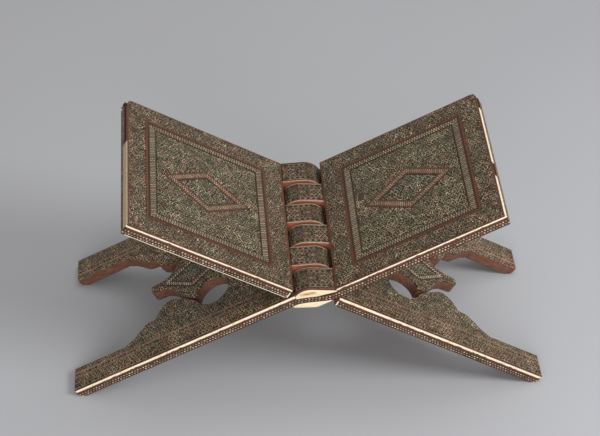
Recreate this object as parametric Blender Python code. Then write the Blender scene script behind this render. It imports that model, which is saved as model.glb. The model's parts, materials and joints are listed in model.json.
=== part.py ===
"""Folding book stand (rehal) in veneered wood.

Two boards cross at a wooden knuckle hinge and open into an X. Each board is one carved wooden
blank (a leaf, three hinge knuckles and a pierced leg) faced with mosaic veneers, fillets and
pale edge stringing. Both boards are the same; the left one is the right one turned half a turn.

Board space, in metres: +X runs from the hinge axis towards the tip of the leaf, -X towards the
foot, Y along the hinge axis, and +Z up through the board. The hinge axis is Y at X = Z = 0.
"""

import math

import bmesh
import bpy
from mathutils import Matrix

# ---------------------------------------------------------------- driving dimensions
BOARD_WIDTH = 0.160
BOARD_THICKNESS = 0.010
LEAF_REACH = 0.1637          # hinge axis to the outer end of the leaf
LEG_REACH = 0.212            # hinge axis to the tip of the foot
OPEN_ANGLE = math.radians(28.9)
STOP_GAP = 0.0004            # left between each leaf's heel and the leg that stops it
FACE_GAP = 0.0002            # each inner face lies this far from the folding plane
KNUCKLES = 6
KNUCKLE_CLEARANCE = 0.0042
CROWN_CENTRE = (-0.0051, -0.0040)   # round top of a knuckle
CROWN_RADIUS = 0.0160
HEEL_LIP = 0.0012            # how far a knuckle's underside stands below the leg it ends at

VENEER = 0.0008
EDGE_STRIP = 0.0010
GLUE = 0.0001
VENEER_END_GAP = 0.0004      # left between a knuckle's veneer and the leaf's
LEAF_STRINGING = 0.0026      # height of the pale strips along the leaf's edges
LEG_STRINGING = 0.0032
CURVE_REACH = 0.0145         # half the length of the edge strip's S curve
LENS_START = -0.0125         # where the upper lens plate meets the leg's pale strip
LENS_TIP = 0.0025            # the lower lens plate stops this far before the curve's end

SLOT_DEPTH = 0.015
CUT_OVERSHOOT = 0.002        # how far a cutter runs past what it cuts

FOOT_WIDTH = 0.025
FOOT_RADIUS = 0.006
FOOT_FLAT_DEPTH = 0.0003     # depth of the small flat that stands on the floor
ARCH_FLOOR = 0.165           # where the straight feet end and the cusped arch begins
KEYHOLE_CENTRE = (0.0835, 0.0325)
KEYHOLE_RADIUS = 0.0147

FRAME_OUTER = (0.0355, 0.1470, 0.0620)   # leaf frame: start, end and half width
FRAME_INNER = (0.0455, 0.1370, 0.0520)
DIAMOND_CENTRE = 0.092
DIAMOND = (0.0395, 0.0260)   # half length and half width
DIAMOND_BAND = 0.0080
PENDANT_CENTRE = -0.1015
PENDANT_DIAMOND = (0.0285, 0.0175)
PENDANT_BAND = 0.0055

# ---------------------------------------------------------------- derived dimensions
SKIN = VENEER + GLUE
RIM = EDGE_STRIP + GLUE
HALF_WIDTH = BOARD_WIDTH / 2
PITCH = BOARD_WIDTH / KNUCKLES
CORE_LEVEL = BOARD_THICKNESS - SKIN
HEEL = (BOARD_THICKNESS * math.cos(OPEN_ANGLE) + STOP_GAP / 2) / math.sin(OPEN_ANGLE)
LEAF_PALE = (-FACE_GAP - SKIN - LEAF_STRINGING, -FACE_GAP - SKIN)
LEG_PALE = (CORE_LEVEL - LEG_STRINGING, CORE_LEVEL)
LEAF_DARK = (-BOARD_THICKNESS, LEAF_PALE[0] - GLUE)
LEG_DARK = (FACE_GAP, LEG_PALE[0] - GLUE)
FLAT_HALF_ANGLE = math.acos(1 - FOOT_FLAT_DEPTH / FOOT_RADIUS)
AXIS_HEIGHT = ((LEG_REACH - FOOT_RADIUS) * math.sin(OPEN_ANGLE)
               - (FOOT_RADIUS + FACE_GAP) * math.cos(OPEN_ANGLE)
               + FOOT_RADIUS - FOOT_FLAT_DEPTH)

COLOURS = {
    "wood": (0.165, 0.050, 0.026),
    "mosaic": (0.150, 0.130, 0.095),
    "fillet": (0.270, 0.185, 0.135),
    "stringing": (0.780, 0.690, 0.520),
}
ROUGHNESS = {"wood": 0.55, "mosaic": 0.42, "fillet": 0.45, "stringing": 0.38}


# ---------------------------------------------------------------- outlines
def arc(centre, radius, start, end, steps):
    """Points on a circular arc, angles in radians."""
    angles = [start + (end - start) * i / steps for i in range(steps + 1)]
    return [(centre[0] + radius * math.cos(a), centre[1] + radius * math.sin(a)) for a in angles]


def smooth(points, steps=4):
    """A Catmull-Rom curve through the points, ends included."""
    padded = [points[0]] + points + [points[-1]]
    curve = []
    for p0, p1, p2, p3 in zip(padded, padded[1:], padded[2:], padded[3:]):
        for i in range(steps):
            t = i / steps
            curve.append(tuple(
                0.5 * (2 * b + (c - a) * t + (2 * a - 5 * b + 4 * c - d) * t ** 2
                       + (3 * b - a - 3 * c + d) * t ** 3)
                for a, b, c, d in zip(p0, p1, p2, p3)))
    return curve + [points[-1]]


def rectangle(x0, x1, y0, y1):
    return [(x0, y0), (x1, y0), (x1, y1), (x0, y1)]


def diamond(centre, halves, inset=0.0):
    """A rhombus with its long diagonal along X, its sides moved in by the inset."""
    length, width = halves
    scale = 1 - inset * math.hypot(length, width) / (length * width)
    a, b = length * scale, width * scale
    return [(centre - a, 0), (centre, -b), (centre + a, 0), (centre, b)]


def hump(centre, radius, heel):
    """A rounded form: its circle, and the direction in which a line from the heel touches it."""
    x, z = heel[0] - centre[0], heel[1] - centre[1]
    return centre, radius, math.atan2(z, x) + math.acos(radius / math.hypot(x, z))


CROWN = hump(CROWN_CENTRE, CROWN_RADIUS, (HEEL, -FACE_GAP))
BELLY = hump((0, 0), BOARD_THICKNESS, (HEEL, HEEL_LIP))


def slope_height(form, inset, x):
    """Height at x of the slope from a hump down to its heel, some way inside its face."""
    (centre_x, centre_z), radius, angle = form
    return centre_z + (radius - inset - (x - centre_x) * math.cos(angle)) / math.sin(angle)


def slope_reach(form, inset, z):
    """Where along the board that slope meets height z."""
    (centre_x, centre_z), radius, angle = form
    return centre_x + (radius - inset - (z - centre_z) * math.sin(angle)) / math.cos(angle)


def round_top(form, inset, steps=8):
    """A hump's round top, from the foot of its slope to the level of the leg."""
    (centre_x, centre_z), radius, angle = form
    rise = (BOARD_THICKNESS - inset - centre_z) / (radius - inset)
    last = math.pi - math.asin(min(1.0, rise))
    return arc((centre_x, centre_z), radius - inset, angle, last, steps)


def opposite(points):
    """The same points turned half a turn about the hinge axis."""
    return [(-x, -z) for x, z in points]


def foot_end(inset=0.0):
    """The rounded tip of a foot, from its end face to its underside, with its floor flat."""
    radius = FOOT_RADIUS - inset
    centre = (FOOT_RADIUS - LEG_REACH, FOOT_RADIUS + FACE_GAP)
    down = 1.5 * math.pi - OPEN_ANGLE
    return (arc(centre, radius, math.pi, down - FLAT_HALF_ANGLE, 4)
            + arc(centre, radius, down + FLAT_HALF_ANGLE, 1.5 * math.pi, 1))


def board_profile():
    """The wooden blank seen along the hinge, inside its veneers."""
    leaf_top = -FACE_GAP - SKIN
    leaf_end = LEAF_REACH - RIM
    notch = HEEL - GLUE
    top = [(leaf_end, leaf_top), (slope_reach(CROWN, SKIN, leaf_top), leaf_top)]
    top += round_top(CROWN, SKIN) + [(-LEG_REACH, CORE_LEVEL)]
    under = [(-notch, FACE_GAP), (-notch, -slope_height(BELLY, SKIN, notch))]
    under += opposite(round_top(BELLY, SKIN)) + [(leaf_end, -CORE_LEVEL)]
    return top + foot_end() + under


def s_curve(left, right, steps=12):
    """An S curve across the hinge, from the leg's level to the leaf's, leg side first."""
    points = []
    for i in range(steps + 1):
        t = i / steps
        rise = (t + t * t * (3 - 2 * t)) / 2
        points.append((CURVE_REACH * (2 * t - 1), left + (right - left) * rise))
    return points


def outer_edge_profile():
    """The mosaic strip that runs unbroken from foot, through the end knuckle, to leaf tip."""
    upper = [(-LEG_REACH, LEG_DARK[1])] + s_curve(LEG_DARK[1], LEAF_DARK[1]) + [(LEAF_REACH, LEAF_DARK[1])]
    lower = [(LEAF_REACH, LEAF_DARK[0])] + s_curve(LEG_DARK[0], LEAF_DARK[0])[::-1]
    return upper + lower + foot_end(GLUE)[::-1]


def leg_edge_profile():
    """The mosaic strip on the leg's edge where the end knuckle belongs to the other board."""
    return [(-LEG_REACH, LEG_DARK[1]), (-HEEL, LEG_DARK[1]), (-HEEL, LEG_DARK[0])] + foot_end(GLUE)[::-1]


def upper_lens_profile():
    """The pale plate above the mosaic strip on the end knuckle."""
    right = HEEL - GLUE
    inner = [point for point in s_curve(LEG_PALE[0], LEAF_PALE[0]) if point[0] > LENS_START]
    top = [(right, slope_height(CROWN, SKIN, right))] + round_top(CROWN, SKIN)[:-1]
    return top + [(LENS_START, LEG_PALE[1]), (LENS_START, LEG_PALE[0])] + inner + [(right, LEAF_PALE[0])]


def lower_lens_profile():
    """The pale crescent below the mosaic strip on the end knuckle."""
    left, right = -HEEL + 2 * GLUE, CURVE_REACH - LENS_TIP
    strip = s_curve(LEG_DARK[0] - GLUE, LEAF_DARK[0] - GLUE, 24)
    inner = [(left, strip[0][1])] + [point for point in strip if point[0] <= right]
    under = [(left, -slope_height(BELLY, 0, -left))] + opposite(round_top(BELLY, 0))
    return under + [(inner[-1][0], -BOARD_THICKNESS)] + inner[::-1]


def knuckle_veneer_profile(form):
    """The bent veneer over a knuckle's hump, between leaf and leg."""
    start, end = HEEL - VENEER_END_GAP, -HEEL + 2 * GLUE
    outer = [(start, slope_height(form, 0, start))] + round_top(form, 0)
    inner = round_top(form, VENEER)[::-1] + [(start, slope_height(form, VENEER, start))]
    return outer + [(end, BOARD_THICKNESS), (end, BOARD_THICKNESS - VENEER)] + inner


def opening_outline():
    """The pierced arch between the feet: cusped lobes, keyholes and the hanging pendant."""
    join, horn = math.radians(27), math.radians(354)
    lobe = smooth([(0.163, 0.0535), (0.157, 0.050), (0.149, 0.0425), (0.144, 0.0385), (0.136, 0.0375)])
    hump = smooth([(0.134, 0.0325), (0.1295, 0.026), (0.122, 0.0223), (0.115, 0.0247),
                   (0.105, 0.031), (0.100, 0.0350)])
    keyhole = arc(KEYHOLE_CENTRE, KEYHOLE_RADIUS, join, horn, 22)
    flank = smooth([(0.1005, 0.0308), (0.107, 0.0265), (0.114, 0.0175), (0.121, 0.009), (0.1285, 0.0045)])
    finger = [(0.136, 0.0043), (0.1392, 0.0030), (0.1400, 0.0)]
    foot = HALF_WIDTH - FOOT_WIDTH
    half = [(LEG_REACH + CUT_OVERSHOOT, foot), (ARCH_FLOOR, foot)] + lobe + hump + keyhole + flank + finger
    whole = half + [(x, -y) for x, y in reversed(half[:-1])]
    return [(-x, y) for x, y in whole]


# ---------------------------------------------------------------- solids
def clear_scene():
    for old in list(bpy.data.objects):
        bpy.data.objects.remove(old, do_unlink=True)


def new_collection(name):
    group = bpy.data.collections.new(name)
    bpy.context.scene.collection.children.link(group)
    return group


def extruded(name, outlines, thickness):
    """A flat mesh solid from closed outlines; a second outline is a hole in the first."""
    curve = bpy.data.curves.new(name, "CURVE")
    curve.dimensions = "2D"
    curve.fill_mode = "BOTH"
    curve.extrude = thickness / 2
    for outline in outlines:
        spline = curve.splines.new("POLY")
        spline.points.add(len(outline) - 1)
        for point, (x, y) in zip(spline.points, outline):
            point.co = (x, y, 0, 1)
        spline.use_cyclic_u = True
    shape = bpy.data.objects.new(name, curve)
    bpy.context.scene.collection.objects.link(shape)
    mesh = bpy.data.meshes.new_from_object(shape.evaluated_get(bpy.context.evaluated_depsgraph_get()))
    bpy.data.objects.remove(shape, do_unlink=True)
    bpy.data.curves.remove(curve)
    work = bmesh.new()
    work.from_mesh(mesh)
    bmesh.ops.remove_doubles(work, verts=work.verts, dist=1e-6)
    bmesh.ops.recalc_face_normals(work, faces=work.faces)
    if work.calc_volume(signed=True) < 0:
        bmesh.ops.reverse_faces(work, faces=work.faces)
    work.to_mesh(mesh)
    work.free()
    mesh.name = name
    return mesh


def plan_solid(name, outlines, z0, z1):
    """A plate seen from above, between two heights in board space."""
    mesh = extruded(name, outlines, z1 - z0)
    mesh.transform(Matrix.Translation((0, 0, (z0 + z1) / 2)))
    return mesh


def side_solid(name, outline, y0, y1):
    """A piece with its outline in the board's X-Z plane, between two places along the hinge."""
    mesh = extruded(name, [outline], y1 - y0)
    upright = Matrix.Rotation(math.pi / 2, 4, "X")
    mesh.transform(Matrix.Translation((0, (y0 + y1) / 2, 0)) @ upright)
    return mesh


def box_solid(name, xs, ys, zs):
    return plan_solid(name, [rectangle(*xs, *ys)], *zs)


def carved(mesh, cutters):
    """The mesh with every cutter taken out of it."""
    blank = bpy.data.objects.new(mesh.name, mesh)
    bpy.context.scene.collection.objects.link(blank)
    for cutter in cutters:
        cut = blank.modifiers.new("cut", "BOOLEAN")
        cut.operation = "DIFFERENCE"
        cut.solver = "EXACT"
        cut.object = cutter
    result = bpy.data.meshes.new_from_object(
        blank.evaluated_get(bpy.context.evaluated_depsgraph_get()))
    result.name = mesh.name
    bpy.data.objects.remove(blank, do_unlink=True)
    return result


def make_cutter(mesh, collection):
    cutter = bpy.data.objects.new(mesh.name, mesh)
    cutter.hide_render = True
    cutter.display_type = "WIRE"
    collection.objects.link(cutter)
    return cutter


# ---------------------------------------------------------------- the pieces of one board
def knuckle_span(index):
    """Where this board's knuckle lies along the hinge; knuckle 0 is at the board's outer edge."""
    start = -HALF_WIDTH + 2 * index * PITCH
    low = start + (RIM if index == 0 else KNUCKLE_CLEARANCE / 2)
    return low, start + PITCH - KNUCKLE_CLEARANCE / 2


def core_pieces(arch, cutters):
    """The carved wooden blank."""
    blank = side_solid("core", board_profile(), -HALF_WIDTH + RIM, HALF_WIDTH - RIM)
    tools = [arch]
    for index in range(KNUCKLES // 2):
        low = -HALF_WIDTH + (2 * index + 1) * PITCH - KNUCKLE_CLEARANCE / 2
        high = low + PITCH + KNUCKLE_CLEARANCE
        slot = box_solid(f"slot_{index + 1}", (-HEEL, HEEL), (low, high), (-SLOT_DEPTH, SLOT_DEPTH))
        tools.append(make_cutter(slot, cutters))
    return {"core": (carved(blank, tools), "wood")}


def leaf_pieces():
    """Veneers on the reading face and the underside of the leaf."""
    top, bottom = -FACE_GAP, -FACE_GAP - VENEER
    start = HEEL + GLUE

    def frame_rectangle(frame, inset):
        x0, x1, half = frame
        return rectangle(x0 + inset, x1 - inset, -half + inset, half - inset)

    centre = DIAMOND_CENTRE
    whole_face = rectangle(start, LEAF_REACH, -HALF_WIDTH, HALF_WIDTH)
    layers = {
        "leaf_border": ([whole_face, frame_rectangle(FRAME_OUTER, 0)], "mosaic"),
        "leaf_frame": ([frame_rectangle(FRAME_OUTER, GLUE), frame_rectangle(FRAME_INNER, 0)], "fillet"),
        "leaf_field": ([frame_rectangle(FRAME_INNER, GLUE), diamond(centre, DIAMOND)], "mosaic"),
        "leaf_diamond_band": ([diamond(centre, DIAMOND, GLUE), diamond(centre, DIAMOND, DIAMOND_BAND)],
                              "fillet"),
        "leaf_diamond": ([diamond(centre, DIAMOND, DIAMOND_BAND + GLUE)], "mosaic"),
    }
    pieces = {name: (plan_solid(name, outlines, bottom, top), look)
              for name, (outlines, look) in layers.items()}
    side = HALF_WIDTH - RIM
    under = box_solid("leaf_underside", (start, LEAF_REACH - RIM), (-side, side),
                      (-BOARD_THICKNESS, -BOARD_THICKNESS + VENEER))
    pieces["leaf_underside"] = (under, "mosaic")
    return pieces


def leg_pieces(arch, cutters):
    """Veneers on the outer face of the leg and its pendant."""
    low, high = BOARD_THICKNESS - VENEER, BOARD_THICKNESS
    foot = HALF_WIDTH - FOOT_WIDTH
    root = -HEEL - GLUE
    outer = box_solid("leg_band_outer", (-LEG_REACH, root), (-HALF_WIDTH, -foot), (low, high))
    inner = box_solid("leg_band_inner", (-LEG_REACH, root), (foot, HALF_WIDTH), (low, high))
    plate = box_solid("leg_arch", (-ARCH_FLOOR, root), (-foot + GLUE, foot - GLUE), (low, high))
    rhombus = plan_solid("pendant_cutter", [diamond(PENDANT_CENTRE, PENDANT_DIAMOND)],
                         low - VENEER, high + VENEER)
    band = plan_solid("pendant_band", [diamond(PENDANT_CENTRE, PENDANT_DIAMOND, GLUE),
                                       diamond(PENDANT_CENTRE, PENDANT_DIAMOND, PENDANT_BAND)], low, high)
    centre = plan_solid("pendant_diamond",
                        [diamond(PENDANT_CENTRE, PENDANT_DIAMOND, PENDANT_BAND + GLUE)], low, high)
    return {
        "leg_band_outer": (outer, "mosaic"),
        "leg_band_inner": (inner, "mosaic"),
        "leg_arch": (carved(plate, [arch, make_cutter(rhombus, cutters)]), "mosaic"),
        "pendant_band": (band, "fillet"),
        "pendant_diamond": (centre, "mosaic"),
    }


def knuckle_pieces():
    """Bent veneers over and under each knuckle."""
    pieces = {}
    for index in range(KNUCKLES // 2):
        low, high = knuckle_span(index)
        top_low = -HALF_WIDTH if index == 0 else low
        top = f"knuckle_{index + 1}_upper"
        under = f"knuckle_{index + 1}_lower"
        pieces[top] = (side_solid(top, knuckle_veneer_profile(CROWN), top_low, high), "mosaic")
        lower = side_solid(under, opposite(knuckle_veneer_profile(BELLY)), low, high)
        pieces[under] = (lower, "mosaic")
    return pieces


def edge_pieces():
    """Mosaic strips, stringing and lens plates on the board's edges."""
    outer = (-HALF_WIDTH, -HALF_WIDTH + EDGE_STRIP)
    inner = (HALF_WIDTH - EDGE_STRIP, HALF_WIDTH)
    across = (-HALF_WIDTH + RIM, HALF_WIDTH - RIM)
    leaf = (HEEL + GLUE, LEAF_REACH)
    tip = (LEAF_REACH - EDGE_STRIP, LEAF_REACH)
    boxes = {
        "leaf_edge_inner": (leaf, inner, LEAF_DARK, "mosaic"),
        "leaf_edge_end": (tip, across, LEAF_DARK, "mosaic"),
        "leaf_stringing_outer": (leaf, outer, LEAF_PALE, "stringing"),
        "leaf_stringing_inner": (leaf, inner, LEAF_PALE, "stringing"),
        "leaf_stringing_end": (tip, across, LEAF_PALE, "stringing"),
        "leg_stringing_outer": ((-LEG_REACH, LENS_START - GLUE), outer, LEG_PALE, "stringing"),
        "leg_stringing_inner": ((-LEG_REACH, -HEEL - GLUE), inner, LEG_PALE, "stringing"),
    }
    pieces = {name: (box_solid(name, xs, ys, zs), look) for name, (xs, ys, zs, look) in boxes.items()}
    pieces["edge_strip_outer"] = (side_solid("edge_strip_outer", outer_edge_profile(), *outer), "mosaic")
    pieces["leg_edge_inner"] = (side_solid("leg_edge_inner", leg_edge_profile(), *inner), "mosaic")
    pieces["lens_upper"] = (side_solid("lens_upper", upper_lens_profile(), *outer), "stringing")
    pieces["lens_lower"] = (side_solid("lens_lower", lower_lens_profile(), *outer), "stringing")
    return pieces


# ---------------------------------------------------------------- assembly
def make_material(name, look):
    material = bpy.data.materials.new(name)
    material.use_nodes = True
    shader = material.node_tree.nodes["Principled BSDF"]
    shader.inputs["Base Color"].default_value = (*COLOURS[look], 1)
    shader.inputs["Roughness"].default_value = ROUGHNESS[look]
    shader.inputs["Metallic"].default_value = 0.0
    return material


def assemble_board(side, turn, pieces, collection):
    """Hang one set of pieces on an empty at the hinge axis."""
    pivot = bpy.data.objects.new(f"{side}_pivot", None)
    pivot.location = (0, 0, AXIS_HEIGHT)
    pivot.rotation_euler = (0, -OPEN_ANGLE, turn)
    collection.objects.link(pivot)
    for name, (mesh, look) in pieces.items():
        node = bpy.data.objects.new(f"{side}_{name}", mesh.copy())
        node.parent = pivot
        node.data.materials.append(make_material(node.name, look))
        node.data.shade_smooth()
        node.data.set_sharp_from_angle(angle=math.radians(35))
        collection.objects.link(node)


def main():
    clear_scene()
    stand = new_collection("quran_stand")
    cutters = new_collection("cutters")
    opening = plan_solid("arch_cutter", [opening_outline()], -CUT_OVERSHOOT,
                         BOARD_THICKNESS + CUT_OVERSHOOT)
    arch = make_cutter(opening, cutters)
    pieces = core_pieces(arch, cutters)
    for group in (leaf_pieces(), leg_pieces(arch, cutters), knuckle_pieces(), edge_pieces()):
        pieces.update(group)
    assemble_board("right", 0.0, pieces, stand)
    assemble_board("left", math.pi, pieces, stand)


main()
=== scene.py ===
"""Looks of the folding book stand: mosaic veneers, banding, bone stringing and stained wood.

Every piece is made in board space, in millimetres: x runs from the hinge axis to the leaf's tip
(and -x to the foot), y along the hinge, z up through the board. One matrix per board carries it
into the row frame. Each mesh keeps its board coordinates in the attribute "board", which the
materials draw their patterns with; banding and strips also have their own UVs, along and across.
"""

import json
import math
import random

import bmesh
import bpy
from mathutils import Matrix, Vector


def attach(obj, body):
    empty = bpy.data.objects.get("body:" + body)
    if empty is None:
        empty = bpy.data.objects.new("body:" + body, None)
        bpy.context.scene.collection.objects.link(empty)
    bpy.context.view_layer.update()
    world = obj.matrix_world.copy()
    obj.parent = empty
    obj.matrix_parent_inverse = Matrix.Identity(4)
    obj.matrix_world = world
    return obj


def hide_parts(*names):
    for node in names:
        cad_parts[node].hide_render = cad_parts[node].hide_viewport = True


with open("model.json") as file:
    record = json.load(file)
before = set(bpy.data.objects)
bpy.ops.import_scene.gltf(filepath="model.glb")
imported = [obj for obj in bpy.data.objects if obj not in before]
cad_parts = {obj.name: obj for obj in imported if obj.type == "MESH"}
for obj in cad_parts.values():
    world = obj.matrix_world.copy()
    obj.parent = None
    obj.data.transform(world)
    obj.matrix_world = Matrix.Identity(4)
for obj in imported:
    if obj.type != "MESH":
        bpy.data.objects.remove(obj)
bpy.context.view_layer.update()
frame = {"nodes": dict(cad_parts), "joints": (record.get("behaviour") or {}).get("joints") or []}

# ---------------------------------------------------------------- sizes, millimetres
MM = 0.001
WIDTH = 160.0                # of a board, along the hinge
THICKNESS = 10.0
LEAF_REACH = 163.7           # from the hinge axis to the leaf's end
LEG_REACH = 212.0            # from the hinge axis to the foot
FACE_GAP = 0.2               # each inner face lies this far from the folding plane
KNUCKLES = 6
KNUCKLE_CLEARANCE = 4.2      # between two knuckles, along the hinge
CROWN_CENTRE = (-5.1, -4.0)  # of the round top of a knuckle, x and z
CROWN_RADIUS = 16.0
VENEER = 0.8
EDGE_STRIP = 1.0
GLUE = 0.1
LEAF_STRINGING = 2.6         # height of the bone on the leaf's edges
LEG_STRINGING = 3.2
CURVE_REACH = 14.5           # where the edge strip's bend over the end knuckle begins and ends
LENS_START = -12.5           # where the leg's bone gives way to the upper lens plate
LENS_FILLET = 0.9            # height of the dark line over the upper lens plate
LENS_LIFT = 0.3              # gap the upper lens plate leaves over the edge strip at its tip
FRAME_OUTER = (35.6, 146.9, 61.9)    # the leaf's frame: from x, to x, half width
FRAME_INNER = (45.5, 137.0, 52.0)
DIAMOND_CENTRE = 92.0
DIAMOND_HALVES = (39.5, 26.0)        # half the leaf diamond's length and width
DIAMOND_BAND = 8.0
PENDANT_CENTRE = -101.5
PENDANT_HALVES = (28.5, 17.5)
PENDANT_BAND = 5.5
RELIEF = 0.12                # how far banding stands proud of the veneers round it
JOINT = 0.16                 # half the gap between lengths of bone
LEAF_LINE = 1.15             # red fillets laid along the foot of the bone
LEG_LINE = 1.0
LOWER_LINE = 0.45            # fine bone line along a lower arris
END_TRIM = 0.75              # bone left in sight above along the leaf's end
EDGE_HEIGHT = 6.0            # every mosaic edge strip counts as this high in its own UVs
ARC_WIDTH = 0.45             # fine line along each side of a knuckle's top
WORN_CORNER = 6.0            # radius worn on the leaf's far back corner
RIGHT_LOST = ((0, 20), (91, 109))    # missing bone along the right leaf's end, from the back
LEFT_LOST = ((103, 158),)
LEFT_END_HEIGHT = 6.2             # the broad bone strip on the left leaf's end, painted tan as shade
PLUG_CENTRE = (51, 14)
PLUG_HALVES = (2.7, 4.8)
CREASE = 40                  # degrees; sharper edges are shaded as edges
UP = (0, 0, 1)

joint = frame["joints"][0]
AXIS = Vector(joint["pos_m"])
OPEN_ANGLE = math.radians((180 - joint["range_deg"][1]) / 2)
HEEL = (THICKNESS * math.cos(OPEN_ANGLE) + FACE_GAP) / math.sin(OPEN_ANGLE)
SKIN = VENEER + GLUE
HALF_WIDTH = WIDTH / 2
PITCH = WIDTH / KNUCKLES
RIM = EDGE_STRIP + GLUE

BOARD = {
    "right": Matrix.Translation(AXIS) @ Matrix.Rotation(-OPEN_ANGLE, 4, "Y"),
    "left": Matrix.Translation(AXIS) @ Matrix.Rotation(math.pi, 4, "Z")
    @ Matrix.Rotation(-OPEN_ANGLE, 4, "Y"),
}

# ---------------------------------------------------------------- colours, linear
EBONY = (0.016, 0.010, 0.007)
UMBER = (0.042, 0.020, 0.009)
RED_LINE = (0.122, 0.041, 0.023)
DULL_RED = (0.115, 0.042, 0.021)


# ---------------------------------------------------------------- shader graph helper
class Graph:
    """A material's node tree, with one short call for each kind of node."""

    def __init__(self, name):
        self.material = bpy.data.materials.new(name)
        self.material.use_nodes = True
        self.tree = self.material.node_tree
        self.shader = self.tree.nodes["Principled BSDF"]

    def node(self, kind, **settings):
        made = self.tree.nodes.new(kind)
        for key, value in settings.items():
            setattr(made, key, value)
        return made

    def feed(self, socket, value):
        if isinstance(value, bpy.types.NodeSocket):
            self.tree.links.new(value, socket)
        elif socket.type == "RGBA" and len(value) == 3:
            socket.default_value = (*value, 1)
        else:
            socket.default_value = value

    def math(self, operation, *values, clamp=False):
        made = self.node("ShaderNodeMath", operation=operation, use_clamp=clamp)
        for socket, value in zip(made.inputs, values):
            self.feed(socket, value)
        return made.outputs[0]

    def vector(self, operation, *values):
        made = self.node("ShaderNodeVectorMath", operation=operation)
        for socket, value in zip(made.inputs, values):
            self.feed(socket, value)
        return made.outputs["Value"] if operation in ("LENGTH", "DOT_PRODUCT") else made.outputs[0]

    def scaled(self, vector, factor):
        made = self.node("ShaderNodeVectorMath", operation="SCALE")
        self.feed(made.inputs[0], vector)
        self.feed(made.inputs["Scale"], factor)
        return made.outputs[0]

    def mix(self, factor, a, b, blend="MIX"):
        made = self.node("ShaderNodeMix", data_type="RGBA", blend_type=blend)
        self.feed(made.inputs[0], factor)
        self.feed(made.inputs[6], a)
        self.feed(made.inputs[7], b)
        return made.outputs[2]

    def mix_vector(self, factor, a, b):
        made = self.node("ShaderNodeMix", data_type="VECTOR")
        self.feed(made.inputs[0], factor)
        self.feed(made.inputs[4], a)
        self.feed(made.inputs[5], b)
        return made.outputs[1]

    def join(self, x, y, z=0.0):
        made = self.node("ShaderNodeCombineXYZ")
        for socket, value in zip(made.inputs, (x, y, z)):
            self.feed(socket, value)
        return made.outputs[0]

    def split(self, vector):
        made = self.node("ShaderNodeSeparateXYZ")
        self.feed(made.inputs[0], vector)
        return made.outputs[0], made.outputs[1], made.outputs[2]

    def board(self):
        """Board coordinates of the shaded point, in millimetres."""
        return self.node("ShaderNodeAttribute", attribute_name="board").outputs["Vector"]

    def strip(self):
        """Distance along and across a strip, in millimetres."""
        return self.node("ShaderNodeUVMap", uv_map="strip").outputs[0]

    def noise(self, vector, scale, detail=2.0, roughness=0.55):
        made = self.node("ShaderNodeTexNoise")
        self.feed(made.inputs["Vector"], vector)
        made.inputs["Scale"].default_value = scale
        made.inputs["Detail"].default_value = detail
        made.inputs["Roughness"].default_value = roughness
        return made.outputs["Fac"]

    def dice(self, vector):
        """Three even random numbers for each different vector."""
        made = self.node("ShaderNodeTexWhiteNoise", noise_dimensions="3D")
        self.feed(made.inputs["Vector"], vector)
        return self.split(made.outputs["Color"])

    def remap(self, value, low, high, to_low=0.0, to_high=1.0):
        made = self.node("ShaderNodeMapRange", clamp=True)
        for socket, number in zip(made.inputs, (value, low, high, to_low, to_high)):
            self.feed(socket, number)
        return made.outputs[0]

    def edge(self, value, at, soft=0.012):
        """0 below a level and 1 above it, with a soft step."""
        return self.remap(value, at - soft, at + soft)

    def between(self, value, low, high):
        above = self.math("GREATER_THAN", value, low)
        return self.math("MULTIPLY", above, self.math("LESS_THAN", value, high))

    def largest(self, *values):
        top = values[0]
        for value in values[1:]:
            top = self.math("MAXIMUM", top, value)
        return top

    def finish(self, colour, roughness, height=None, depth=0.05, coat=0.0, sheen=0.5):
        """Joins colour, roughness and a height in millimetres to the shader."""
        self.shader.inputs["Specular IOR Level"].default_value = sheen
        self.feed(self.shader.inputs["Base Color"], colour)
        self.feed(self.shader.inputs["Roughness"], roughness)
        self.shader.inputs["Coat Weight"].default_value = coat
        self.shader.inputs["Coat Roughness"].default_value = 0.25
        if height is not None:
            bump = self.node("ShaderNodeBump")
            bump.inputs["Strength"].default_value = 0.6
            bump.inputs["Distance"].default_value = depth * MM
            self.feed(bump.inputs["Height"], height)
            self.feed(self.shader.inputs["Normal"], bump.outputs[0])
        return self.material


# ---------------------------------------------------------------- mosaic patterns
ROOT3 = math.sqrt(3)
MOSAIC_PITCH = 2.7
POINT = ROOT3 / 6            # a star's points begin this far from its centre, in pitches

# Each palette: chips outside the star, its points, the two kinds of chip inside it, and the
# plain cells that stand in for every ninth star.
PALETTES = {
    "field": ((0.490, 0.400, 0.262), (0.014, 0.015, 0.005), (0.014, 0.009, 0.003),
              (0.034, 0.023, 0.008), (0.095, 0.060, 0.023)),
    "border": ((0.460, 0.350, 0.230), (0.011, 0.014, 0.006), (0.065, 0.020, 0.009),
               (0.020, 0.013, 0.005), (0.075, 0.046, 0.018)),
    "net": ((0.500, 0.420, 0.285), (0.012, 0.018, 0.007), (0.011, 0.007, 0.003),
            (0.026, 0.022, 0.008), (0.065, 0.042, 0.015)),
    "leg": ((0.560, 0.425, 0.270), (0.016, 0.019, 0.006), (0.085, 0.027, 0.011),
            (0.030, 0.020, 0.007), (0.060, 0.038, 0.014)),
    "knuckle": ((0.340, 0.245, 0.155), (0.012, 0.014, 0.005), (0.060, 0.019, 0.009),
                (0.020, 0.014, 0.006), (0.045, 0.028, 0.012)),
    "edge": ((0.130, 0.068, 0.036), (0.045, 0.022, 0.010), (0.085, 0.028, 0.014),
             (0.036, 0.017, 0.008), (0.075, 0.024, 0.012)),
}


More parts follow.
